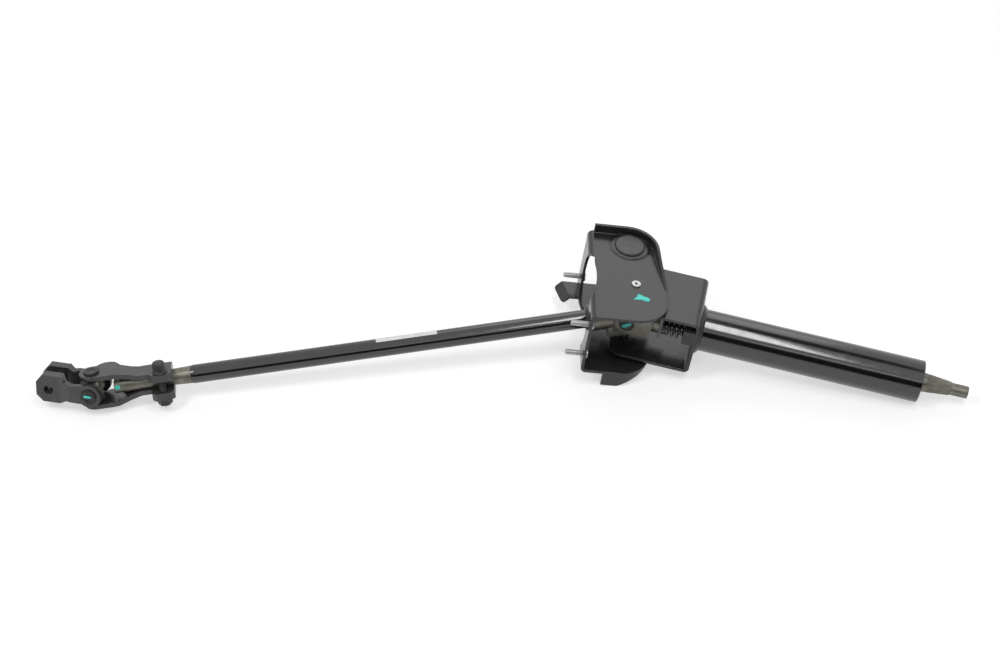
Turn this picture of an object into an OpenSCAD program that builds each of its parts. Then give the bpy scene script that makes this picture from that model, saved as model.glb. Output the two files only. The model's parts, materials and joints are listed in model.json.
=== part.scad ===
// Tilting steering column with a jointed intermediate shaft, lying on a bench.

/* [Mounting bracket] */
// Sheet thickness of the bracket and of the tilting yoke
sheet = 3; // [2:0.5:4]
// Outside height over both plates
bracket_height = 80; // [76:1:96]
// Distance from the tilt axis to the front of the flange
flange_offset = 48; // [46:1:60]
// Near edge of the bracket, measured from the tilt axis
near_edge = 55; // [50:1:64]
// Far edge of the bracket, measured from the tilt axis
far_edge = 80; // [76:1:92]
// Outside radius of the sheet bends
bend_radius = 6; // [5:0.5:8]
// Radius of the large round opening in the flange
opening_radius = 47; // [44:1:50]
// Height of the upturned lip above the upper plate
upper_lip = 10; // [6:1:14]
// Height of the downturned lip below the lower plate
lower_lip = 16; // [14:1:20]

/* [Studs and pivots] */
// Radius of a bulkhead stud
stud_radius = 3; // [2.5:0.5:4]
// Length of a stud in front of the flange
stud_length = 18; // [14:1:30]
// Radius of a tilt pivot pin
pivot_radius = 3; // [2.5:0.5:4]
// Radius of the plug in the upper plate
plug_radius = 15.5; // [13:0.5:17]

/* [Tilting head] */
// Angle of the head to the bracket
tilt = 11.7; // [6:0.1:16]
// Length of the yoke from the tilt axis to the outside of its end plate
yoke_reach = 74; // [72:1:96]
// Near edge of the yoke, measured from the tilt axis
yoke_near = 34; // [32:1:40]
// Far edge of the yoke, measured from the tilt axis
yoke_far = 41; // [36:1:50]
// Outside radius of the column tube
tube_radius = 22.25; // [21:0.25:26]
// Wall of the column tube
tube_wall = 2; // [1.5:0.25:3]
// Length of the column tube
tube_length = 236; // [180:5:320]

/* [Steering shaft] */
// Radius of the steering shaft
shaft_radius = 10; // [9:0.5:11]
// Length of the shaft beyond the column tube
shaft_exit = 50; // [44:1:64]

/* [Shaft joints] */
// Distance of a joint ear's inside from the joint centre
ear_inside = 13.5; // [13:0.5:16]
// Thickness of a joint ear
ear_thick = 6; // [5:0.5:7]
// Radius of a joint ear
ear_radius = 12.5; // [11.5:0.5:13]
// Radius of a bearing cup
cup_radius = 8; // [7:0.5:8.5]
// Radius of a spider arm
arm_radius = 6; // [5:0.25:6.5]

/* [Intermediate shaft] */
// Distance between the two joint centres
joint_span = 560; // [480:5:640]
// Radius of the intermediate tube
link_radius = 9.75; // [9:0.25:10.5]
// Radius of the flattened slip bar
bar_radius = 8.5; // [8:0.25:8.75]
// Fall of the shaft against the bracket
fall = 10.15; // [8:0.05:14]
// Turn of the shaft in the upper joint
swing = 20.9; // [16:0.1:24]
// Roll of the lower joint about the shaft
joint_roll = 14; // [0:1:20]

/* [Lower joint] */
// Turn of the lower yoke about the upright spider arm
lower_turn = 16.7; // [10:0.1:20]
// Turn of the lower yoke about the level spider arm
lower_rise = 9; // [0:0.1:12]
// Radius of the bolt hole in the lower yoke
bolt_hole = 5; // [4:0.5:6]

/* [Hidden] */
$fn = 64;
run = 0.05;
gap = 0.3;
half = bracket_height / 2;
inner = half - sheet;
mid_y = (far_edge - near_edge) / 2;
right_x = 33;
right_y = -6;
round_y = -22;
lip_x = 26;
lip_round = 33;
lip_centre = [lip_x - lip_round, far_edge - lip_round];
notch_radius = 90;
notch_depth = 7.5;
lip_z = half + lower_lip;
tube_end = yoke_reach + tube_length;
lean = atan((lip_z - tube_radius) / (tube_end * cos(tilt) - lip_centre[0]));
rest_height = lip_centre[0] * sin(lean) + lip_z * cos(lean);
bench_x = 129.22;
bench_y = 16.18;
washer = 3 - 2 * run;
wall_out = inner - 3;
wall_in = wall_out - sheet;
stud_seat = stud_radius + 0.5;
stud_spots = [[-near_edge + 12, 18], [-near_edge + 12, -24], [far_edge - 8, -20]];
plug_x = -4;
plug_y = far_edge - 21;
ear_outside = ear_inside + ear_thick;
arm_end = ear_outside - 1.5;
cup_end = ear_outside + 0.8;
yoke_base = 20;
clamp_end = 81;
neck_at = joint_span - clamp_end - 18;
bar_from = joint_span - clamp_end - 2;
clamp_in = 6.55;
clamp_out = clamp_in + 5;
bar_half = 6.5;
clamp_near = 21;
clamp_far = 12.4;
clamp_top = 15;
bolt_x = 69.5;
bolt_y = -bar_radius - 5;
lug_in = 5.5;
lug_out = 14.5;
lug_end = 57;
lug_drop = 15;
bore = tube_radius - tube_wall;
taper_from = tube_end + 6;
spigot_from = tube_end + 34;
spigot_radius = shaft_radius - 3.5;
ball_ring = 14.8;
ball = 2.9;
spring_x = 36;
spring_end = yoke_reach - 15;
spring_y = -24;
spring_z = 13.6;
black = [0.1, 0.1, 0.1];
steel = [0.45, 0.44, 0.4];
zinc = [0.8, 0.8, 0.78];
dark = [0.2, 0.2, 0.2];

// Frames, each carried by the one before it

module in_bracket() {
  translate([bench_x, bench_y, rest_height]) rotate([0, lean, 0]) children();
}

module in_head() {
  in_bracket() rotate([0, 0, -tilt]) children();
}

module in_spider() {
  in_head() rotate([0, -fall, 0]) children();
}

module in_shaft() {
  in_spider() rotate([0, 0, swing]) children();
}

module in_clamp() {
  in_shaft() translate([-joint_span, 0, 0]) rotate([-joint_roll, 0, 0]) children();
}

module in_lower_spider() {
  in_clamp() rotate([0, 0, -lower_turn]) children();
}

module in_lower_yoke() {
  in_lower_spider() rotate([0, lower_rise, 0]) children();
}

// Shared shapes

module along_x(from, to, r) {
  translate([from, 0, 0]) rotate([0, 90, 0]) cylinder(r = r, h = to - from);
}

module along_y(from, to, r) {
  translate([0, from, 0]) rotate([-90, 0, 0]) cylinder(r = r, h = to - from);
}

module along_z(from, to, r) {
  translate([0, 0, from]) cylinder(r = r, h = to - from);
}

module box(a, b) {
  translate(a) cube(b - a);
}

module channel_profile(front, depth, out) {
  // A sheet channel seen from the side: web at the front, two walls going back
  square_at([front, -out + bend_radius], [front + sheet, out - bend_radius]);
  for (s = [-1, 1]) {
    scale([1, s]) {
      square_at([front + bend_radius, out - sheet], [front + depth, out]);
      intersection() {
        translate([front + bend_radius, out - bend_radius]) difference() {
          circle(r = bend_radius);
          circle(r = bend_radius - sheet);
        }
        square_at([front, out - bend_radius], [front + bend_radius, out]);
      }
    }
  }
}

module square_at(a, b) {
  translate(a) square(b - a);
}

module half_turn() {
  translate([0, mid_y, 0]) rotate([180, 0, 0]) translate([0, -mid_y, 0]) children();
}

// Bracket

module plate_outline() {
  near_round = near_edge + round_y;
  polygon([[-flange_offset, -near_edge], [right_x - near_round, -near_edge], [right_x - near_round, round_y],
    [right_x, round_y], [right_x, right_y], [lip_x, lip_centre[1]], lip_centre,
    [lip_centre[0], far_edge], [-flange_offset, far_edge]]);
  translate([right_x - near_round, round_y]) circle(r = near_round);
  translate(lip_centre) circle(r = lip_round);
}

module lip_outline(start) {
  square_at([start, far_edge - sheet], [lip_centre[0], far_edge]);
  intersection() {
    translate(lip_centre) difference() {
      circle(r = lip_round);
      circle(r = lip_round - sheet);
    }
    square_at(lip_centre, [lip_x + 1, far_edge]);
  }
}

module plate_half() {
  intersection() {
    translate([0, far_edge, 0]) rotate([90, 0, 0]) linear_extrude(far_edge + near_edge)
      channel_profile(-flange_offset, flange_offset + right_x, half);
    linear_extrude(half + 1) plate_outline();
  }
}

module upturned_lip() {
  // Full height along the far edge, running out along the slanted right edge
  top = half + upper_lip;
  translate([0, 0, inner]) linear_extrude(sheet + upper_lip) lip_outline(-flange_offset + bend_radius);
  intersection() {
    linear_extrude(top)
      polygon([[lip_x - sheet, lip_centre[1]], [lip_x, lip_centre[1]], [right_x, right_y],
        [right_x - sheet, right_y]]);
    rotate([90, 0, 90]) linear_extrude(right_x + 1)
      polygon([[right_y, inner], [lip_centre[1], inner], [lip_centre[1], top], [right_y, half]]);
  }
}

module downturned_lip() {
  // Full height along the straight edge, tapering away round the corner
  start = lip_centre[0] - 17;
  intersection() {
    linear_extrude(lip_z) lip_outline(start);
    translate([0, far_edge, 0]) rotate([90, 0, 0]) linear_extrude(lip_round)
      polygon([[start, inner], [start, lip_z], [lip_centre[0], lip_z], [lip_x - 5, half + 1], [lip_x, half],
        [lip_x, inner]]);
  }
}

module ear() {
  // Flat tongue in front of the flange with its tip folded down along a slanted crease
  wide = 24;
  slant = 8;
  tip = 11;
  corner = 4;
  crease = -flange_offset - 17;
  fold = norm([wide, slant]);
  translate([0, 0, -half]) linear_extrude(sheet)
    polygon([[-flange_offset + bend_radius, far_edge - wide], [-flange_offset + bend_radius, far_edge],
      [crease, far_edge], [crease + slant, far_edge - wide]]);
  translate([crease, far_edge, -inner]) rotate([0, 0, atan2(-wide, slant)]) rotate([40, 0, 0])
    translate([0, 0, -sheet]) linear_extrude(sheet) {
      square_at([0, -tip + corner], [fold, 0]);
      square_at([corner, -tip], [fold - corner, 0]);
      for (x = [corner, fold - corner]) {
        translate([x, -tip + corner]) circle(r = corner);
      }
    }
}

module mounting_bracket() {
  color(black) in_bracket() difference() {
    union() {
      plate_half();
      upturned_lip();
      half_turn() {
        plate_half();
        downturned_lip();
      }
      ear();
      translate([plug_x, plug_y, half]) cylinder(r = plug_radius + 5, h = 0.8);
    }
    translate([0, mid_y, 0]) along_x(-flange_offset - 1, -flange_offset + bend_radius, opening_radius);
    translate([-flange_offset + notch_depth - notch_radius, mid_y, 0]) intersection() {
      along_z(-half - 1, half + 1, notch_radius);
      box([notch_radius - notch_depth - 1, -notch_radius, -half - 1], [notch_radius, notch_radius, half + 1]);
    }
    for (p = stud_spots) {
      translate([0, p[0], p[1]]) along_x(-flange_offset - 1, -flange_offset + sheet + 1, stud_seat + 0.02);
    }
    along_z(-half - 1, half + 1, pivot_radius + 0.02);
    translate([plug_x, plug_y, inner - 1]) cylinder(r = plug_radius - 3 + 0.02, h = sheet + 3);
    translate([plug_x, plug_y, half]) cylinder(r = plug_radius + gap, h = 2);
  }
}

module bulkhead_studs() {
  color(zinc) in_bracket() for (p = stud_spots) {
    translate([0, p[0], p[1]]) {
      along_x(-flange_offset - stud_length, -flange_offset, stud_radius);
      along_x(-flange_offset, -flange_offset + sheet, stud_seat);
      along_x(-flange_offset + sheet, -flange_offset + sheet + 3, stud_radius + 2.5);
    }
  }
}

module pivot_pin() {
  difference() {
    union() {
      along_z(half, half + 1.5, pivot_radius + 1.6);
      along_z(wall_in - 2, half, pivot_radius);
      along_z(wall_in - 2.5, wall_in - run, pivot_radius + 1.6);
    }
    along_z(half + 0.7, half + 2, pivot_radius - 1);
  }
}

module pivot_pin_upper() {
  color(zinc) in_bracket() pivot_pin();
}

module pivot_pin_lower() {
  color(zinc) in_bracket() rotate([180, 0, 0]) pivot_pin();
}

module pivot_washer() {
  difference() {
    along_z(inner - washer - run, inner, 11);
    along_z(0, half, pivot_radius + run);
  }
}

module pivot_washer_upper() {
  color(steel) in_bracket() pivot_washer();
}

module pivot_washer_lower() {
  color(steel) in_bracket() rotate([180, 0, 0]) pivot_washer();
}

module hole_plug() {
  color(dark) in_bracket() translate([plug_x, plug_y, 0]) {
    along_z(half, half + 3, plug_radius);
    along_z(inner - 1, half, plug_radius - 3);
  }
}

// Tilting head

module tilt_yoke() {
  corner = 14;
  color(black) in_head() difference() {
    intersection() {
      rotate([0, 0, 180]) translate([0, yoke_near, 0]) rotate([90, 0, 0])
        linear_extrude(yoke_near + yoke_far)
        channel_profile(-yoke_reach, yoke_reach + corner, wall_out);
      linear_extrude(2 * half, center = true) {
        square_at([-corner, -yoke_near + corner], [yoke_reach, yoke_far - corner]);
        square_at([0, -yoke_near], [yoke_reach, yoke_far]);
        translate([0, -yoke_near + corner]) circle(r = corner);
        translate([0, yoke_far - corner]) circle(r = corner);
      }
    }
    along_z(-half, half, pivot_radius + run);
    along_x(yoke_reach - 10, yoke_reach + 1, 16);
  }
}

module column_tube() {
  color(black) in_head() difference() {
    along_x(yoke_reach, tube_end, tube_radius);
    along_x(yoke_reach - 1, tube_end + 1, bore);
  }
}

module tube_collar() {
  color(black) in_head() translate([yoke_reach, 0, 0]) rotate([0, 90, 0]) rotate_extrude()
    polygon([[tube_radius, 0], [tube_radius + 4, 0], [tube_radius + 3.2, 2], [tube_radius, 5]]);
}

module race(from, to, r_in, r_out, groove) {
  difference() {
    along_x(from, to, r_out);
    along_x(from - 1, to + 1, r_in);
    translate([(from + to) / 2, 0, 0]) rotate([0, 90, 0]) rotate_extrude()
      translate([ball_ring, 0]) circle(r = groove);
  }
}

module balls(at) {
  for (a = [0 : 36 : 359]) {
    translate([at, 0, 0]) rotate([a, 0, 0]) translate([0, ball_ring, 0]) sphere(r = ball, $fn = 24);
  }
}

module upper_bearing_outer() {
  color(zinc) in_head() race(tube_end - 18, tube_end - 6, 16.6, bore, ball + run);
}

module upper_bearing_balls() {
  color(zinc) in_head() balls(tube_end - 12);
}

module upper_bearing_inner() {
  color(zinc) in_head() race(tube_end - 18, tube_end - 6, shaft_radius, 13, ball + gap);
}

module lower_bearing_outer() {
  color(zinc) in_head() race(yoke_reach, yoke_reach + 12, 16.6, bore, ball + run);
}

module lower_bearing_balls() {
  color(zinc) in_head() balls(yoke_reach + 6);
}

module lower_bearing_inner() {
  color(zinc) in_head() race(yoke_reach, yoke_reach + 12, shaft_radius, 13, ball + gap);
}

module tilt_spring() {
  turns = 3.75;
  length = spring_end - spring_x;
  pitch = length / turns;
  wire = 1.5;
  ring = 7;
  color(steel) in_head() translate([spring_x + 1.5, spring_y, spring_z]) rotate([0, 90, 0])
    linear_extrude(length - 3, twist = -360 * (length - 3) / pitch, slices = 90, $fn = 12)
    polygon([for (t = [0 : 30 : 359]) let (a = 360 * wire * sin(t) / pitch)
      (ring + wire * cos(t)) * [cos(a), sin(a)]]);
}

module spring_seat() {
  color(black) in_head()
    box([spring_x - sheet, spring_y - 8, spring_z - 9.6], [spring_x, spring_y + 8, wall_in]);
}

module spring_guide() {
  color(dark) in_head() {
    translate([0, spring_y, spring_z]) along_x(spring_x, spring_end, 4.5);
    box([spring_end, spring_y - 10, spring_z - 8.6], [yoke_reach - sheet, spring_y + 8, spring_z + 8.4]);
  }
}

// Steering shaft and upper joint

module steering_shaft() {
  exit = tube_end + shaft_exit;
  color(steel) in_head() {
    along_x(yoke_base + 6, taper_from, shaft_radius);
    translate([taper_from, 0, 0]) rotate([0, 90, 0])
      cylinder(r1 = shaft_radius - 0.4, r2 = spigot_radius, h = spigot_from - taper_from);
    along_x(spigot_from, exit, spigot_radius);
  }
}

module forked(bore_r) {
  // Fork opening along the negative direction, ears on the y axis
  difference() {
    union() {
      for (s = [-1, 1]) {
        scale([1, s, 1]) {
          along_y(ear_inside, ear_outside, ear_radius);
          box([0, ear_inside, -ear_radius], [yoke_base + 6, ear_outside, ear_radius]);
        }
      }
      box([yoke_base, -ear_outside, -ear_radius], [yoke_base + 6, ear_outside, ear_radius]);
      along_x(yoke_base, yoke_base + 24, 14);
    }
    along_y(-ear_outside - 1, ear_outside + 1, cup_radius);
    along_x(yoke_base + 6, yoke_base + 25, bore_r);
  }
}

module cups() {
  for (s = [-1, 1]) {
    scale([1, s, 1]) difference() {
      along_y(ear_inside - 1, cup_end, cup_radius);
      along_y(ear_inside - 2, arm_end + 0.2, arm_radius + run);
    }
  }
}

module spider() {
  along_y(-arm_end, arm_end, arm_radius);
  along_z(-arm_end, arm_end, arm_radius);
  along_y(-10, 10, arm_radius + 2);
  along_z(-10, 10, arm_radius + 2);
}

module steering_yoke() {
  color(steel) in_head() forked(shaft_radius);
}

module upper_cups_a() {
  color(zinc) in_head() cups();
}

module upper_spider() {
  color(steel) in_spider() spider();
}

// Intermediate shaft

module turned() {
  rotate([90, 0, 180]) children();
}

module intermediate_yoke() {
  color(steel) in_shaft() turned() forked(link_radius);
}

module upper_cups_b() {
  color(zinc) in_shaft() turned() cups();
}

module intermediate_tube() {
  color(black) in_shaft() rotate([0, -90, 0]) rotate_extrude()
    polygon([[link_radius - 2, yoke_base + 6], [link_radius, yoke_base + 6], [link_radius, neck_at - 3],
      [link_radius - 0.6, neck_at], [link_radius - 2, neck_at]]);
}

module slip_shaft() {
  color(steel) in_shaft() {
    along_x(-neck_at - 1, -neck_at + 30, link_radius - 2.02);
    translate([-neck_at, 0, 0]) rotate([0, -90, 0])
      cylinder(r1 = link_radius - 0.6, r2 = bar_radius, h = bar_from - neck_at);
    rotate([-joint_roll, 0, 0]) intersection() {
      along_x(-joint_span + 20.5, -bar_from + 1, bar_radius);
      box([-joint_span, -20, -bar_half], [0, 20, bar_half]);
    }
  }
}

module clamp_plan() {
  // Outline of the clamp yoke seen along its upright pins
  circle(r = ear_radius);
  translate([16, 3]) circle(r = 15);
  polygon([[0, -ear_radius], [18, -ear_radius], [36, -9.5], [clamp_end, -9.5], [clamp_end, clamp_far],
    [50, clamp_far], [40, 10.5], [0, ear_radius]]);
}

module clamp_arm() {
  // One arm of the clamp yoke seen from the side, bent in towards the bar
  polygon([[-ear_radius, ear_inside], [22, ear_inside], [46, clamp_in], [clamp_end, clamp_in],
    [clamp_end, clamp_out], [47, clamp_out], [23, ear_outside - 1], [-ear_radius, ear_outside - 1]]);
}

module clamp_lug() {
  // Thick block at the end of an arm, drawn from above with its near corners cut off
  translate([0, 0, clamp_in]) linear_extrude(clamp_top - clamp_in)
    polygon([[58, 6], [58, 4 - clamp_near], [62, -clamp_near], [clamp_end - 4, -clamp_near],
      [clamp_end, 4 - clamp_near], [clamp_end, 6]]);
}

module clamp_yoke() {
  web = bar_radius + 0.4;
  color(dark) in_clamp() difference() {
    union() {
      for (s = [-1, 1]) {
        scale([1, 1, s]) {
          intersection() {
            linear_extrude(ear_outside) clamp_plan();
            translate([0, 30, 0]) rotate([90, 0, 0]) linear_extrude(60) clamp_arm();
          }
          clamp_lug();
        }
      }
      translate([0, clamp_far, 0]) rotate([90, 0, 0]) linear_extrude(clamp_far - web)
        polygon([[25, -15.8], [25, 15.8], [46, 11], [clamp_end, 11], [clamp_end, -11], [46, -11]]);
    }
    along_z(-ear_outside, ear_outside, cup_radius);
    translate([bolt_x, bolt_y, 0]) along_z(-clamp_top - 1, clamp_top + 1, 4.1);
  }
}

module pinch_bolt() {
  color(dark) in_clamp() translate([bolt_x, bolt_y, 0]) {
    along_z(-clamp_top - 9, clamp_top, 4);
    along_z(clamp_top, clamp_top + 1.2, 7);
    along_z(clamp_top + 1.2, clamp_top + 7.5, 6.4);
  }
}

module pinch_nut() {
  color(dark) in_clamp() translate([bolt_x, bolt_y, 0]) difference() {
    translate([0, 0, -clamp_top - 6.5]) cylinder(r = 7.5, h = 6.5, $fn = 6);
    along_z(-clamp_top - 7, 0, 4.02);
  }
}

module lower_cups_a() {
  color(zinc) in_clamp() rotate([90, 0, 0]) cups();
}

module lower_spider() {
  color(steel) in_lower_spider() spider();
}

module lower_plan() {
  // One wall of the lower yoke seen along its level pins
  circle(r = ear_radius);
  polygon([[0, ear_radius], [-16, 10], [-26, 10], [-30, 16], [-50, 16], [-lug_end, 7], [-lug_end, -8],
    [-50, -lug_drop], [-32, -lug_drop], [-24, -9.5], [0, -10]]);
}

module lower_wall() {
  // The same wall seen from above, drawn in at the clamp end
  polygon([[ear_radius, ear_inside], [-20, ear_inside], [-30, lug_in], [-lug_end, lug_in], [-lug_end, lug_out],
    [-32, lug_out], [-21, ear_outside - 1], [ear_radius, ear_outside - 1]]);
}

module lower_yoke() {
  color(dark) in_lower_yoke() difference() {
    union() {
      for (s = [-1, 1]) {
        scale([1, s, 1]) intersection() {
          translate([0, 30, 0]) rotate([90, 0, 0]) linear_extrude(60) lower_plan();
          translate([0, 0, -20]) linear_extrude(40) lower_wall();
        }
      }
      box([-50, -lug_in - 1, -lug_drop], [-32, lug_in + 1, 4.5 - lug_drop]);
    }
    along_y(-ear_outside, ear_outside, cup_radius);
    translate([-44, 0, -1]) along_y(-20, 20, bolt_hole);
  }
}

module lower_cups_b() {
  color(zinc) in_lower_yoke() cups();
}

mounting_bracket();
bulkhead_studs();
pivot_pin_upper();
pivot_pin_lower();
pivot_washer_upper();
pivot_washer_lower();
hole_plug();
tilt_yoke();
column_tube();
tube_collar();
upper_bearing_outer();
upper_bearing_balls();
lower_bearing_outer();
lower_bearing_balls();
tilt_spring();
spring_seat();
spring_guide();
steering_shaft();
upper_bearing_inner();
lower_bearing_inner();
steering_yoke();
upper_cups_a();
upper_spider();
intermediate_yoke();
upper_cups_b();
intermediate_tube();
slip_shaft();
clamp_yoke();
pinch_bolt();
pinch_nut();
lower_cups_a();
lower_spider();
lower_yoke();
lower_cups_b();
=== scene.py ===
"""Looks of a tilting steering column that lies on a pale bench."""

import json
import math

import bmesh
import bpy
from mathutils import Matrix, Vector


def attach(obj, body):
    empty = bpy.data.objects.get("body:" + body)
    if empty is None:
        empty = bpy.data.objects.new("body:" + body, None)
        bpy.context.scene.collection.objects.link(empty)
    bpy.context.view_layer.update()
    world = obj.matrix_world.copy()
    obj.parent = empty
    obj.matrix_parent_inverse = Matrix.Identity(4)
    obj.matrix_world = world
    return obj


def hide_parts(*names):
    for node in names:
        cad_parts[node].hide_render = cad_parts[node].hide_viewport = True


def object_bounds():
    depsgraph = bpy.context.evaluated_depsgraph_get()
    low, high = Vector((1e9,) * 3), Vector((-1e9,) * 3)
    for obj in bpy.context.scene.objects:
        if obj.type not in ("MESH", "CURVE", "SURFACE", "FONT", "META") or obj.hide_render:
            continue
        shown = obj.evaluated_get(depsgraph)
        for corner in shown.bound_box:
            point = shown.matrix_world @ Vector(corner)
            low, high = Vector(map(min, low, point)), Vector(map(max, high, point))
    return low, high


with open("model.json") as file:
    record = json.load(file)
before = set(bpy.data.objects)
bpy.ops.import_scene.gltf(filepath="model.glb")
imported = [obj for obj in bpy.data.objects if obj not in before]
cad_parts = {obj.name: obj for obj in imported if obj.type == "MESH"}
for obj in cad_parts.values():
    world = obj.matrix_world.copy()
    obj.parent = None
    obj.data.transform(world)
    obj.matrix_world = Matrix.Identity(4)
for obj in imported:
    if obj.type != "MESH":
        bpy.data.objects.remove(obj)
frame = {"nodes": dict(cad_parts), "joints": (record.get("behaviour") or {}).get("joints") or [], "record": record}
cad_low, cad_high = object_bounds()
scene = bpy.context.scene
scene.view_settings.view_transform = "Standard"

MM = 0.001

# Sizes of the column, in millimetres, as the solids have them
FLANGE = 48
HALF_HEIGHT = 40
STUD_RADIUS = 3
STUD_LENGTH = 18
STUD_SPOTS = [(-43, 18), (-43, -24), (72, -20)]
PLUG_SPOT = (-4, 59)
PLUG_RADIUS = 15.5
YOKE_REACH = 74
TUBE_RADIUS = 22.25
TUBE_END = 310
SHAFT_RADIUS = 10
SHAFT_TIP = 360
SPAN = 560
LINK_RADIUS = 9.75
CUP_END = 20.3
CLAMP_TOP = 15
BOLT_SPOT = (69.5, -13.5)
SPIGOT_FROM = 344
SERRATIONS_FROM = TUBE_END + 7.5
SERRATIONS_LENGTH = 24
SPRING_SPOT = (37.5, -24, 13.6)
SPRING_RADIUS = 7
SPRING_WIRE = 1.5
SPRING_LENGTH = 20
SPRING_TURNS = 3.75
LINK_YOKE_END = 44
LABEL_FROM = 204
LABEL_LENGTH = 64
LABEL_HALF_WRAP = math.radians(39)
LABEL_TURN = math.radians(-27)
TILT = math.radians(11.7)
FALL = math.radians(10.15)
SWING = math.radians(20.9)
ROLL = math.radians(14)
LOWER_TURN = math.radians(16.7)
LOWER_RISE = math.radians(9)


def turn(axis, angle):
    return Matrix.Rotation(angle, 4, axis)


def shift(x, y, z):
    return Matrix.Translation((x, y, z))


# Frames in millimetres, each carried by the one before it
hinges = {joint["name"]: joint for joint in frame["joints"]}
tilt_point = Vector(hinges["tilt"]["pos_m"]) / MM
tilt_axis = Vector(hinges["tilt"]["axis"])
lean = math.atan2(tilt_axis.x, tilt_axis.z)
bracket_frame = Matrix.Translation(tilt_point) @ turn("Y", lean)
head_frame = bracket_frame @ turn("Z", -TILT)
shaft_frame = head_frame @ turn("Y", -FALL) @ turn("Z", SWING)
clamp_frame = shaft_frame @ shift(-SPAN, 0, 0) @ turn("X", -ROLL)
lower_frame = clamp_frame @ turn("Z", -LOWER_TURN) @ turn("Y", LOWER_RISE)
UP_TO_X = turn("Y", math.pi / 2)
UP_TO_NEAR = turn("X", math.pi / 2)


# Materials


class Finish:
    """A node material with its shader ready to be joined up."""

    def __init__(self, name, color, metallic, roughness):
        self.material = bpy.data.materials.new(name)
        self.material.use_nodes = True
        self.nodes = self.material.node_tree.nodes
        self.links = self.material.node_tree.links
        self.shader = self.nodes["Principled BSDF"]
        self.shader.inputs["Base Color"].default_value = (*color, 1)
        self.shader.inputs["Metallic"].default_value = metallic
        self.shader.inputs["Roughness"].default_value = roughness
        self.place = self.nodes.new("ShaderNodeTexCoord").outputs["Object"]

    def noise(self, scale, detail=4, stretch=None):
        texture = self.nodes.new("ShaderNodeTexNoise")
        texture.inputs["Scale"].default_value = scale
        texture.inputs["Detail"].default_value = detail
        source = self.place
        if stretch:
            mapping = self.nodes.new("ShaderNodeMapping")
            mapping.inputs["Scale"].default_value = stretch
            self.links.new(source, mapping.inputs["Vector"])
            source = mapping.outputs["Vector"]
        self.links.new(source, texture.inputs["Vector"])
        return texture.outputs["Fac"]

    def ramp(self, source, stops):
        node = self.nodes.new("ShaderNodeValToRGB")
        points = node.color_ramp.elements
        while len(points) < len(stops):
            points.new(0.5)
        for point, (at, color) in zip(points, stops):
            point.position = at
            point.color = (*color, 1)
        self.links.new(source, node.inputs["Fac"])
        return node.outputs["Color"]

    def spread(self, source, low, high):
        node = self.nodes.new("ShaderNodeMapRange")
        node.inputs["From Min"].default_value = 0.3
        node.inputs["From Max"].default_value = 0.7
        node.inputs["To Min"].default_value = low
        node.inputs["To Max"].default_value = high
        self.links.new(source, node.inputs["Value"])
        return node.outputs["Result"]

    def color(self, source):
        self.links.new(source, self.shader.inputs["Base Color"])

    def roughness(self, source):
        self.links.new(source, self.shader.inputs["Roughness"])

    def bump(self, source, height, soft_edge=0):
        node = self.nodes.new("ShaderNodeBump")
        node.inputs["Strength"].default_value = 0.5
        node.inputs["Distance"].default_value = height
        self.links.new(source, node.inputs["Height"])
        if soft_edge:
            edge = self.nodes.new("ShaderNodeBevel")
            edge.samples = 6
            edge.inputs["Radius"].default_value = soft_edge
            self.links.new(edge.outputs["Normal"], node.inputs["Normal"])
        self.links.new(node.outputs["Normal"], self.shader.inputs["Normal"])


def gray(value, warm=0.0):
    return (value * (1 + warm), value, value * (1 - warm))


def gloss_black_paint():
    finish = Finish("gloss_black_paint", gray(0.008), 0, 0.1)
    tone = finish.noise(38, 6)
    finish.color(finish.ramp(tone, [(0.3, gray(0.005)), (0.62, gray(0.008)), (0.8, gray(0.014))]))
    finish.roughness(finish.spread(finish.noise(120, 5), 0.08, 0.16))
    finish.bump(finish.noise(700, 3), 0.00003, 0.0009)
    finish.shader.inputs["Specular IOR Level"].default_value = 0.9
    return finish.material


def stamped_black_coat(name, soft_edge):
    finish = Finish(name, gray(0.018), 0, 0.4)
    tone = finish.noise(46, 6)
    finish.color(finish.ramp(tone, [(0.3, gray(0.014)), (0.6, gray(0.018)), (0.82, gray(0.026))]))
    finish.roughness(finish.spread(finish.noise(160, 5), 0.18, 0.28))
    finish.bump(finish.noise(900, 4), 0.00008, soft_edge)
    finish.shader.inputs["Specular IOR Level"].default_value = 0.55
    return finish.material


def satin_black_coat():
    finish = Finish("satin_black_coat", gray(0.03), 0.1, 0.4)
    tone = finish.noise(60, 6)
    stops = [(0.3, gray(0.028)), (0.6, gray(0.042)), (0.82, gray(0.065, 0.04))]
    finish.color(finish.ramp(tone, stops))
    finish.roughness(finish.spread(finish.noise(180, 5), 0.2, 0.32))
    finish.bump(finish.noise(900, 4), 0.0001, 0.0009)
    finish.shader.inputs["Specular IOR Level"].default_value = 0.65
    return finish.material


def oiled_steel():
    finish = Finish("oiled_steel", (0.19, 0.184, 0.155), 0.7, 0.4)
    tone = finish.noise(70, 7)
    stops = [(0.25, (0.12, 0.115, 0.09)), (0.55, (0.19, 0.184, 0.155)), (0.8, (0.27, 0.265, 0.235))]
    finish.color(finish.ramp(tone, stops))
    finish.roughness(finish.spread(finish.noise(240, 5), 0.3, 0.5))
    finish.bump(finish.noise(800, 4), 0.0001, 0.0009)
    return finish.material


def bright_zinc():
    finish = Finish("bright_zinc", gray(0.5), 0.9, 0.3)
    tone = finish.noise(150, 5)
    finish.color(finish.ramp(tone, [(0.3, gray(0.42)), (0.6, gray(0.5)), (0.8, gray(0.58))]))
    finish.roughness(finish.spread(finish.noise(420, 4), 0.26, 0.4))
    finish.bump(finish.noise(1400, 3), 0.00003)
    return finish.material


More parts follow.
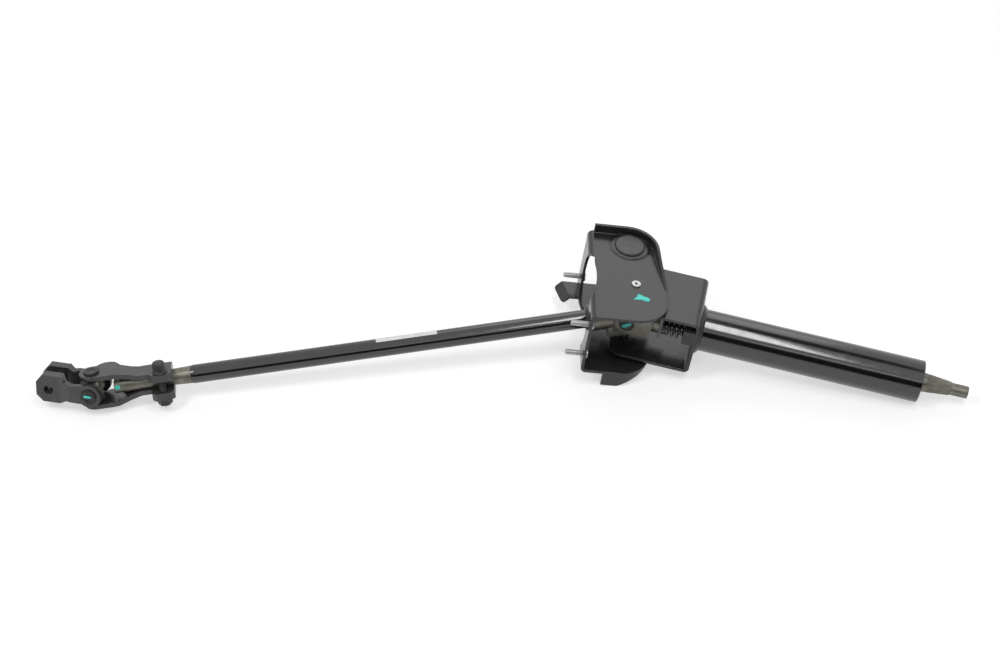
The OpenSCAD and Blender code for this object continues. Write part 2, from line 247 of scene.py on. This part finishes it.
def ground_steel():
    finish = Finish("ground_steel", gray(0.48), 1, 0.26)
    tone = finish.noise(130, 6)
    stops = [(0.3, gray(0.34, 0.03)), (0.6, gray(0.48, 0.02)), (0.8, gray(0.6))]
    finish.color(finish.ramp(tone, stops))
    finish.roughness(finish.spread(finish.noise(300, 5), 0.2, 0.4))
    finish.bump(finish.noise(1000, 3), 0.00005, 0.0005)
    return finish.material


def dark_phosphate():
    finish = Finish("dark_phosphate", gray(0.05), 0.5, 0.45)
    tone = finish.noise(160, 6)
    stops = [(0.3, gray(0.03)), (0.6, gray(0.052, 0.03)), (0.8, gray(0.09, 0.04))]
    finish.color(finish.ramp(tone, stops))
    finish.roughness(finish.spread(finish.noise(500, 4), 0.36, 0.55))
    finish.bump(finish.noise(1500, 4), 0.0001, 0.0008)
    return finish.material


def plug_plastic():
    finish = Finish("plug_plastic", gray(0.1), 0, 0.6)
    tone = finish.noise(90, 5)
    stops = [(0.3, gray(0.085)), (0.6, gray(0.105)), (0.8, gray(0.125, 0.02))]
    finish.color(finish.ramp(tone, stops))
    finish.roughness(finish.spread(finish.noise(500, 4), 0.5, 0.72))
    finish.bump(finish.noise(1800, 3), 0.00006)
    return finish.material


def teal_marking_paint():
    finish = Finish("teal_marking_paint", (0.09, 0.76, 0.66), 0, 0.45)
    tone = finish.noise(400, 5)
    stops = [(0.25, (0.05, 0.55, 0.46)), (0.55, (0.09, 0.76, 0.66)), (0.8, (0.2, 0.86, 0.78))]
    finish.color(finish.ramp(tone, stops))
    finish.roughness(finish.spread(finish.noise(900, 4), 0.35, 0.6))
    finish.bump(finish.noise(1600, 4), 0.00015)
    return finish.material


def white_label_film():
    finish = Finish("white_label_film", gray(0.8), 0, 0.4)
    tone = finish.noise(110, 5)
    finish.color(finish.ramp(tone, [(0.3, gray(0.7)), (0.6, gray(0.8)), (0.85, gray(0.86))]))
    finish.roughness(finish.spread(finish.noise(260, 4), 0.32, 0.5))
    finish.bump(finish.noise(500, 4), 0.0001)
    return finish.material


def weld_bead_metal():
    finish = Finish("weld_bead_metal", gray(0.02), 0.1, 0.3)
    tone = finish.noise(260, 6)
    stops = [(0.3, gray(0.012)), (0.6, gray(0.022)), (0.82, gray(0.05, 0.04))]
    finish.color(finish.ramp(tone, stops))
    finish.roughness(finish.spread(finish.noise(500, 4), 0.22, 0.42))
    finish.bump(finish.noise(420, 5), 0.0006)
    return finish.material


def seal_rubber():
    finish = Finish("seal_rubber", gray(0.02), 0, 0.6)
    tone = finish.noise(200, 5)
    finish.color(finish.ramp(tone, [(0.3, gray(0.012)), (0.6, gray(0.022)), (0.82, gray(0.04))]))
    finish.roughness(finish.spread(finish.noise(600, 4), 0.5, 0.7))
    finish.bump(finish.noise(1200, 3), 0.00008)
    return finish.material


BLACK = gloss_black_paint()
STAMPED = stamped_black_coat("stamped_black_coat", 0.0018)
PRESSED = stamped_black_coat("pressed_ring_coat", 0)
SATIN = satin_black_coat()
STEEL = oiled_steel()
ZINC = bright_zinc()
GROUND = ground_steel()
PHOSPHATE = dark_phosphate()
PLUG = plug_plastic()
TEAL = teal_marking_paint()
LABEL = white_label_film()
WELD = weld_bead_metal()
RUBBER = seal_rubber()

SLOT_FINISH = {
    "black_paint": BLACK,
    "stamped_black": STAMPED,
    "satin_black": SATIN,
    "bare_steel": STEEL,
    "bright_zinc": ZINC,
    "bearing_steel": GROUND,
    "dark_phosphate": PHOSPHATE,
    "plug_plastic": PLUG,
}


def dress_solids():
    """Each solid takes the finish of its material slot."""
    for part in frame["record"]["subparts"]:
        solid = frame["nodes"][part["node"]]
        solid.data.materials.clear()
        solid.data.materials.append(SLOT_FINISH[part["material_slot"]])


# Shared shapes, made in millimetres about the upright axis


def lathe(profile, steps=64):
    """A turned shape: the profile of radius and height goes once round."""
    shape = bmesh.new()
    points = [shape.verts.new((radius, 0, height)) for radius, height in profile]
    for low, high in zip(points, points[1:]):
        shape.edges.new((low, high))
    bmesh.ops.spin(
        shape,
        geom=shape.verts[:] + shape.edges[:],
        cent=(0, 0, 0),
        axis=(0, 0, 1),
        angle=2 * math.pi,
        steps=steps,
        use_merge=True,
    )
    bmesh.ops.remove_doubles(shape, verts=shape.verts, dist=0.0005)
    bmesh.ops.recalc_face_normals(shape, faces=shape.faces)
    return shape


def thread_profile(radius, low, high, pitch, depth):
    """A saw-tooth side from low to high with a small lead-in at the top."""
    profile = [(0, low), (radius - depth, low)]
    height = low + pitch * 0.3
    while height + pitch < high:
        profile.append((radius - depth, height))
        profile.append((radius, height + pitch * 0.4))
        profile.append((radius, height + pitch * 0.55))
        height += pitch
    profile.append((radius - depth, high - 0.9))
    profile.append((radius - depth - 0.7, high))
    profile.append((0, high))
    return profile


def smooth(shape, limit=0.6):
    """Smooth faces with sharp edges kept."""
    for face in shape.faces:
        face.smooth = True
    for edge in shape.edges:
        if edge.is_manifold and edge.calc_face_angle(0) > limit:
            edge.smooth = False


def add_piece(name, shape, place, body, material):
    """The finished shape goes to its place and rides on its body."""
    smooth(shape)
    shape.transform(Matrix.Scale(MM, 4) @ place)
    mesh = bpy.data.meshes.new(name)
    shape.to_mesh(mesh)
    shape.free()
    mesh.materials.append(material)
    piece = bpy.data.objects.new(name, mesh)
    scene.collection.objects.link(piece)
    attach(piece, body)
    return piece


def joined(shapes):
    """Several shapes as one, each already in place."""
    whole = bmesh.new()
    for shape in shapes:
        part = bpy.data.meshes.new("part")
        shape.to_mesh(part)
        shape.free()
        whole.from_mesh(part)
        bpy.data.meshes.remove(part)
    return whole


def placed(shape, place):
    shape.transform(place)
    return shape


def paint_dab(radius, ragged, thick):
    """A brushed dab of paint with an uneven rim."""
    shape = bmesh.new()
    rim = bmesh.ops.create_circle(shape, cap_ends=True, radius=radius, segments=28)["verts"]
    for count, corner in enumerate(rim):
        pull = 1 + ragged * math.sin(count * 2.3) * math.cos(count * 1.1)
        corner.co *= pull
    raised = bmesh.ops.extrude_face_region(shape, geom=shape.faces[:])
    tops = [item for item in raised["geom"] if isinstance(item, bmesh.types.BMVert)]
    bmesh.ops.translate(shape, verts=tops, vec=(0, 0, thick))
    bmesh.ops.scale(shape, verts=tops, vec=(0.86, 0.86, 1))
    bmesh.ops.recalc_face_normals(shape, faces=shape.faces)
    return shape


def brush_stroke(outline, thick):
    """A thin patch of paint with the given outline."""
    shape = bmesh.new()
    patch = shape.faces.new([shape.verts.new((*corner, 0)) for corner in outline])
    raised = bmesh.ops.extrude_face_region(shape, geom=[patch], use_keep_orig=True)
    tops = [item for item in raised["geom"] if isinstance(item, bmesh.types.BMVert)]
    bmesh.ops.translate(shape, verts=tops, vec=(0, 0, thick))
    rim = []
    for edge in shape.edges:
        if edge.is_manifold and all(corner in tops for corner in edge.verts):
            rim.append(edge)
    bmesh.ops.bevel(
        shape,
        geom=rim,
        offset=thick * 0.6,
        affect="EDGES",
        segments=2,
        profile=0.5,
        material=-1,
    )
    bmesh.ops.recalc_face_normals(shape, faces=shape.faces)
    return shape


# Bracket pieces


def bracket_studs():
    """Threaded studs on the flange, each with a low round head behind it."""
    shapes = []
    head_profile = [(0, -3), (3.5, -3), (3.5, 0), (5, 0), (5.5, 0.6), (5.5, 2.2), (4.6, 3), (0, 3)]
    for side, up in STUD_SPOTS:
        profile = thread_profile(STUD_RADIUS + 0.05, 0, STUD_LENGTH, 1, 0.45)
        shank = lathe(profile, 40)
        back = turn("Y", -math.pi / 2)
        shapes.append(placed(shank, shift(-FLANGE, side, up) @ back))
        head = lathe(head_profile, 40)
        shapes.append(placed(head, shift(-FLANGE + 3, side, up) @ UP_TO_X))
    whole = joined(shapes)
    studs = add_piece("threaded_studs", whole, bracket_frame, "bracket", ZINC)
    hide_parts("bulkhead_studs")


def upper_plate_plug():
    edge = PLUG_RADIUS
    profile = [(0, 2.9), (edge - 4, 3), (edge - 1.6, 3), (edge - 0.7, 2.8), (edge - 0.2, 2.3)]
    profile += [(edge, 1.6), (edge, 0), (edge - 3, 0), (edge - 3, -4), (0, -4)]
    place = bracket_frame @ shift(PLUG_SPOT[0], PLUG_SPOT[1], HALF_HEIGHT)
    plug = add_piece("domed_plug", lathe(profile, 72), place, "bracket", PLUG)
    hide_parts("hole_plug")


def pivot_rivets():
    """Peened ends of the tilt pins, each with a dark disc in its hollow middle as painted shade."""
    shapes = []
    hollow_shade_discs = []
    profile = [(0, 0.5), (1.2, 0.5), (1.5, 0.9), (1.9, 1.7), (2.8, 1.9)]
    profile += [(4.1, 1.6), (4.6, 0.8), (4.6, 0), (0, 0)]
    for side in (1, -1):
        head = lathe(profile, 48)
        seat = shift(0, 0, side * HALF_HEIGHT) @ turn("X", 0 if side > 0 else math.pi)
        shapes.append(placed(head, seat))
        # A dark phosphate disc fills each head's hollow: painted shade, not a mark on the metal
        hollow_shade_discs.append(placed(lathe([(0, 0.4), (1.4, 0.4), (1.3, 0.8), (0, 0.7)], 32), seat))
    heads = joined(shapes)
    painted_hollow_shade = joined(hollow_shade_discs)
    add_piece("peened_rivet_heads", heads, bracket_frame, "bracket", ZINC)
    # The dark discs are painted shade in the hollow of each rivet head
    add_piece("rivet_hollow_painted_shade", painted_hollow_shade, bracket_frame, "bracket", PHOSPHATE)


def bracket_marks():
    """A wedge of marking paint brushed on the upper plate."""
    wedge = [(-9, -3), (-5, 1), (-4, 5.5), (-1, 5), (3, 2.6)]
    wedge += [(7.6, 1.2), (8.4, -2.5), (6.5, -5), (0, -2.8)]
    stroke = brush_stroke(wedge, 0.25)
    place = bracket_frame @ shift(5, -20, HALF_HEIGHT)
    add_piece("plate_paint_stroke", stroke, place, "bracket", TEAL)


def plug_emboss():
    """Raised ring pressed into the sheet round the plug."""
    start = PLUG_RADIUS + 0.4
    profile = [(start, 0), (start, 0.3), (start + 0.9, 0.75), (start + 2.2, 1), (start + 3.4, 0.95)]
    profile += [(start + 4.6, 0.65), (start + 5.6, 0.3), (start + 6.6, 0.06), (start + 7, 0)]
    place = bracket_frame @ shift(*PLUG_SPOT, HALF_HEIGHT)
    ring = lathe(profile + [(start, 0)], 80)
    add_piece("plug_emboss", ring, place, "bracket", PRESSED)


# Head pieces


def head_spring():
    """A round wire wound round the spring guide."""
    shape = bmesh.new()
    ring = bmesh.ops.create_circle(shape, cap_ends=False, radius=SPRING_WIRE, segments=14)
    upright = shift(SPRING_RADIUS, 0, 0) @ turn("X", math.pi / 2)
    bmesh.ops.transform(shape, matrix=upright, verts=ring["verts"])
    steps = 120
    bmesh.ops.spin(
        shape,
        geom=shape.verts[:] + shape.edges[:],
        cent=(0, 0, 0),
        axis=(0, 0, 1),
        dvec=(0, 0, SPRING_LENGTH / steps),
        angle=2 * math.pi * SPRING_TURNS,
        steps=steps,
    )
    bmesh.ops.holes_fill(shape, edges=[edge for edge in shape.edges if edge.is_boundary])
    bmesh.ops.recalc_face_normals(shape, faces=shape.faces)
    place = head_frame @ shift(*SPRING_SPOT) @ UP_TO_X
    spring = add_piece("coil_spring", shape, place, "tilt_head", BLACK)
    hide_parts("tilt_spring")


def tube_weld():
    inner = TUBE_RADIUS
    profile = [(inner, 0), (inner + 4, 0), (inner + 4, 0.8), (inner + 3.2, 2.2), (inner + 1.8, 3.4)]
    profile += [(inner + 0.6, 4.6), (inner, 5), (inner, 0)]
    bead = lathe(profile, 96)
    place = head_frame @ shift(YOKE_REACH, 0, 0) @ UP_TO_X
    weld = add_piece("tube_weld_bead", bead, place, "tilt_head", WELD)
    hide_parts("tube_collar")


def tube_end_bush():
    outer = TUBE_RADIUS - 2.05
    inner = SHAFT_RADIUS + 0.35
    profile = [(inner, -4.5), (outer, -4.5), (outer, -1), (outer - 0.8, -0.3)]
    profile += [(outer - 4, -0.3), (outer - 5, -1.4), (inner, -1.4), (inner, -4.5)]
    place = head_frame @ shift(TUBE_END, 0, 0) @ UP_TO_X
    add_piece("tube_end_seal", lathe(profile, 72), place, "tilt_head", RUBBER)


# Steering shaft pieces


def wheel_serrations():
    teeth = 36
    shape = bmesh.new()
    rim = bmesh.ops.create_circle(shape, cap_ends=True, radius=9.75, segments=teeth * 2)["verts"]
    for count, corner in enumerate(rim):
        corner.co *= 1 if count % 2 else 0.94
    raised = bmesh.ops.extrude_face_region(shape, geom=shape.faces[:])
    tops = [item for item in raised["geom"] if isinstance(item, bmesh.types.BMVert)]
    bmesh.ops.translate(shape, verts=tops, vec=(0, 0, SERRATIONS_LENGTH))
    bmesh.ops.scale(shape, verts=tops, vec=(0.74, 0.74, 1))
    bmesh.ops.recalc_face_normals(shape, faces=shape.faces)
    place = head_frame @ shift(SERRATIONS_FROM, 0, 0) @ UP_TO_X
    add_piece("wheel_serrations", shape, place, "steering_shaft", STEEL)


def wheel_thread():
    profile = thread_profile(6.55, 0, SHAFT_TIP - SPIGOT_FROM, 1.5, 0.5)
    place = head_frame @ shift(SPIGOT_FROM, 0, 0) @ UP_TO_X
    add_piece("wheel_thread", lathe(profile, 48), place, "steering_shaft", STEEL)


def cup_faces(name, base, spread, body):
    """Dished ends of a pair of bearing cups."""
    shapes = []
    profile = [(0, 0.1), (4.2, 0.1), (4.8, 0.45), (6.6, 0.5), (7.4, 0.25), (7.7, -0.2), (0, -0.2)]
    for side in (1, -1):
        face = lathe(profile, 48)
        shapes.append(placed(face, spread @ turn("X", -side * math.pi / 2) @ shift(0, 0, CUP_END)))
    add_piece(name, joined(shapes), base, body, PHOSPHATE)


def spider_seals(name, base, spread, body):
    """Rubber rings at the mouths of a pair of cups."""
    shapes = []
    bore = 6.12
    profile = [(bore, 10.9), (8.6, 10.9), (9, 11.4), (9, 12.2), (8.6, 12.45), (bore, 12.45), (bore, 10.9)]
    for side in (1, -1):
        ring = lathe(profile, 40)
        shapes.append(placed(ring, spread @ turn("X", -side * math.pi / 2)))
    add_piece(name, joined(shapes), base, body, RUBBER)


def joint_details():
    upright = turn("X", math.pi / 2)
    level = Matrix.Identity(4)
    cup_faces("steering_yoke_cup_ends", head_frame, level, "steering_shaft")
    cup_faces("intermediate_yoke_cup_ends", shaft_frame, upright, "intermediate_shaft")
    cup_faces("clamp_yoke_cup_ends", clamp_frame, upright, "intermediate_shaft")
    cup_faces("lower_yoke_cup_ends", lower_frame, level, "gear_yoke")
    spider_seals("steering_yoke_seals", head_frame, level, "steering_shaft")
    spider_seals("intermediate_yoke_seals", shaft_frame, upright, "intermediate_shaft")
    spider_seals("clamp_yoke_seals", clamp_frame, upright, "intermediate_shaft")
    spider_seals("lower_yoke_seals", lower_frame, level, "gear_yoke")
    near = shift(0, -CUP_END - 0.5, 0) @ UP_TO_NEAR
    place = head_frame @ near @ turn("Z", 0.7) @ Matrix.Diagonal((1.6, 0.6, 1, 1))
    dab = paint_dab(3.8, 0.16, 0.22)
    add_piece("upper_cup_paint_dab", dab, place, "steering_shaft", TEAL)
    place = lower_frame @ near @ shift(-0.5, 1, 0) @ Matrix.Diagonal((1.5, 0.6, 1, 1))
    dab = paint_dab(2.9, 0.16, 0.22)
    add_piece("lower_cup_paint_dab", dab, place, "gear_yoke", TEAL)


# Intermediate shaft pieces


def link_label():
    """A bare strip of film laid over the top of the tube."""
    shape = bmesh.new()
    ends = [shape.verts.new((LINK_RADIUS + 0.06, 0, height)) for height in (0, LABEL_LENGTH)]
    shape.edges.new(ends)
    start = turn("Z", -LABEL_HALF_WRAP).to_3x3()
    bmesh.ops.rotate(shape, verts=shape.verts, cent=(0, 0, 0), matrix=start)
    bmesh.ops.spin(
        shape,
        geom=shape.verts[:] + shape.edges[:],
        cent=(0, 0, 0),
        axis=(0, 0, 1),
        angle=2 * LABEL_HALF_WRAP,
        steps=28,
    )
    bmesh.ops.recalc_face_normals(shape, faces=shape.faces)
    bmesh.ops.solidify(shape, geom=shape.faces[:], thickness=-0.12)
    bmesh.ops.recalc_face_normals(shape, faces=shape.faces)
    place = shaft_frame @ shift(-LABEL_FROM, 0, 0) @ turn("X", LABEL_TURN) @ turn("Y", -math.pi / 2)
    add_piece("bare_label_strip", shape, place, "intermediate_shaft", LABEL)


def link_weld():
    inner = LINK_RADIUS
    profile = [(inner, 0), (inner + 3, 0), (inner + 2.7, 1.2), (inner + 1.4, 2.6)]
    profile += [(inner, 3.6), (inner, 0)]
    bead = lathe(profile, 64)
    place = shaft_frame @ shift(-LINK_YOKE_END, 0, 0) @ turn("Y", -math.pi / 2)
    add_piece("link_weld_bead", bead, place, "intermediate_shaft", WELD)


def pinch_fastener():
    """Tall round-headed bolt with a flange, and its threaded end below the nut."""
    head = [(0, 0), (7.6, 0), (7.9, 0.4), (7.6, 1.4), (6.6, 2.4)]
    head += [(6.4, 3), (6.4, 10), (5.6, 11.2), (4.4, 11.6), (0, 11.6)]
    thread = thread_profile(4.05, 0, 2 * CLAMP_TOP + 9, 1.25, 0.6)
    bolt = joined([lathe(head, 56), placed(lathe(thread, 36), turn("X", math.pi))])
    place = clamp_frame @ shift(*BOLT_SPOT, CLAMP_TOP)
    body = "intermediate_shaft"
    piece = add_piece("flanged_pinch_bolt", bolt, place, body, PHOSPHATE)
    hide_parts("pinch_bolt")
    dab = paint_dab(3, 0.2, 0.25)
    spot = clamp_frame @ shift(24, -8.3, 1) @ UP_TO_NEAR @ Matrix.Diagonal((1, 0.9, 1, 1))
    add_piece("slip_bar_paint_dab", dab, spot, body, TEAL)


# Bench, light and camera


def seen_rays(nodes, links):
    """One where a ray comes from the camera, a shiny surface or through glass."""
    rays = nodes.new("ShaderNodeLightPath")
    either = nodes.new("ShaderNodeMath")
    either.operation = "MAXIMUM"
    links.new(rays.outputs["Is Camera Ray"], either.inputs[0])
    links.new(rays.outputs["Is Glossy Ray"], either.inputs[1])
    any_of_three = nodes.new("ShaderNodeMath")
    any_of_three.operation = "MAXIMUM"
    links.new(either.outputs["Value"], any_of_three.inputs[0])
    links.new(rays.outputs["Is Transmission Ray"], any_of_three.inputs[1])
    return any_of_three.outputs["Value"]


def sheet(name, size, place):
    """A flat square of the stage."""
    shape = bmesh.new()
    bmesh.ops.create_grid(shape, x_segments=1, y_segments=1, size=0.5)
    shape.transform(place @ Matrix.Diagonal((*size, 1, 1)))
    mesh = bpy.data.meshes.new(name)
    shape.to_mesh(mesh)
    shape.free()
    card = bpy.data.objects.new(name, mesh)
    scene.collection.objects.link(card)
    return card


def bench():
    top = sheet("bench", (14, 14), shift(0, 0, cad_low.z - 0.0004))
    finish = Finish("pale_bench", gray(0.62), 0, 0.6)
    finish.shader.inputs["Specular IOR Level"].default_value = 0
    glow = finish.nodes.new("ShaderNodeEmission")
    glow.inputs["Color"].default_value = (1, 1, 1, 1)
    level = finish.nodes.new("ShaderNodeMapRange")
    level.inputs["To Max"].default_value = 0.54
    finish.links.new(seen_rays(finish.nodes, finish.links), level.inputs["Value"])
    finish.links.new(level.outputs["Result"], glow.inputs["Strength"])
    both = finish.nodes.new("ShaderNodeAddShader")
    finish.links.new(finish.shader.outputs["BSDF"], both.inputs[0])
    finish.links.new(glow.outputs["Emission"], both.inputs[1])
    finish.links.new(both.outputs["Shader"], finish.nodes["Material Output"].inputs["Surface"])
    top.data.materials.append(finish.material)


def screen(name, size, place, tone):
    """A card outside the picture that the gloss paint mirrors as a darker band."""
    card = sheet(name, size, place)
    card.data.materials.append(Finish(name, gray(tone), 0, 0.9).material)
    card.visible_camera = False


def sky():
    world = bpy.data.worlds.new("studio")
    scene.world = world
    world.use_nodes = True
    nodes = world.node_tree.nodes
    links = world.node_tree.links
    soft = nodes["Background"]
    soft.inputs["Color"].default_value = (1, 1, 1, 1)
    soft.inputs["Strength"].default_value = 0.45
    white = nodes.new("ShaderNodeBackground")
    white.inputs["Color"].default_value = (1, 1, 1, 1)
    white.inputs["Strength"].default_value = 1
    mix = nodes.new("ShaderNodeMixShader")
    links.new(seen_rays(nodes, links), mix.inputs["Fac"])
    links.new(soft.outputs["Background"], mix.inputs[1])
    links.new(white.outputs["Background"], mix.inputs[2])
    links.new(mix.outputs["Shader"], nodes["World Output"].inputs["Surface"])


def lamp(name, at, aim, size, power):
    light = bpy.data.lights.new(name, "AREA")
    light.shape = "RECTANGLE"
    light.size, light.size_y = size
    light.energy = power
    holder = bpy.data.objects.new(name, light)
    holder.location = at
    holder.rotation_euler = (Vector(aim) - Vector(at)).to_track_quat("-Z", "Y").to_euler()
    scene.collection.objects.link(holder)


def camera():
    lens = bpy.data.cameras.new("photo_camera")
    lens.sensor_width = 36
    lens.lens = 1800 / 1000 * 36
    lens.clip_end = 50
    holder = bpy.data.objects.new("photo_camera", lens)
    eye = Vector((-0.0179, -1.3622, 1.3540))
    heading = turn("Z", math.radians(-0.47))
    pitch = turn("X", math.radians(90 - 44.04))
    roll = turn("Z", math.radians(1.24))
    holder.matrix_world = Matrix.Translation(eye) @ heading @ pitch @ roll
    scene.collection.objects.link(holder)
    scene.camera = holder


dress_solids()
bracket_studs()
upper_plate_plug()
plug_emboss()
pivot_rivets()
bracket_marks()
head_spring()
tube_weld()
tube_end_bush()
wheel_serrations()
wheel_thread()
joint_details()
link_label()
link_weld()
pinch_fastener()
bench()
sky()
screen("near_screen", (9, 1.3), shift(0, -2.3, 0.95) @ turn("X", math.pi / 2), 0.01)
screen("top_screen", (0.5, 0.75), shift(0.85, 0.38, 1.95), 0.3)
lamp("key_softbox", (0.42, -0.65, 1.9), (0.42, -0.6, 0), (0.3, 1.2), 10)
lamp("side_softbox", (-1.1, -0.65, 1.9), (-0.4, -0.1, 0), (0.4, 0.6), 11)
lamp("line_softbox", (0.6, -2.3, 1.95), (0.3, 0, 0), (0.9, 0.08), 0.8)
lamp("back_softbox", (0.4, 1.9, 1.7), (0.1, 0, 0), (1.6, 1.6), 8)
camera()
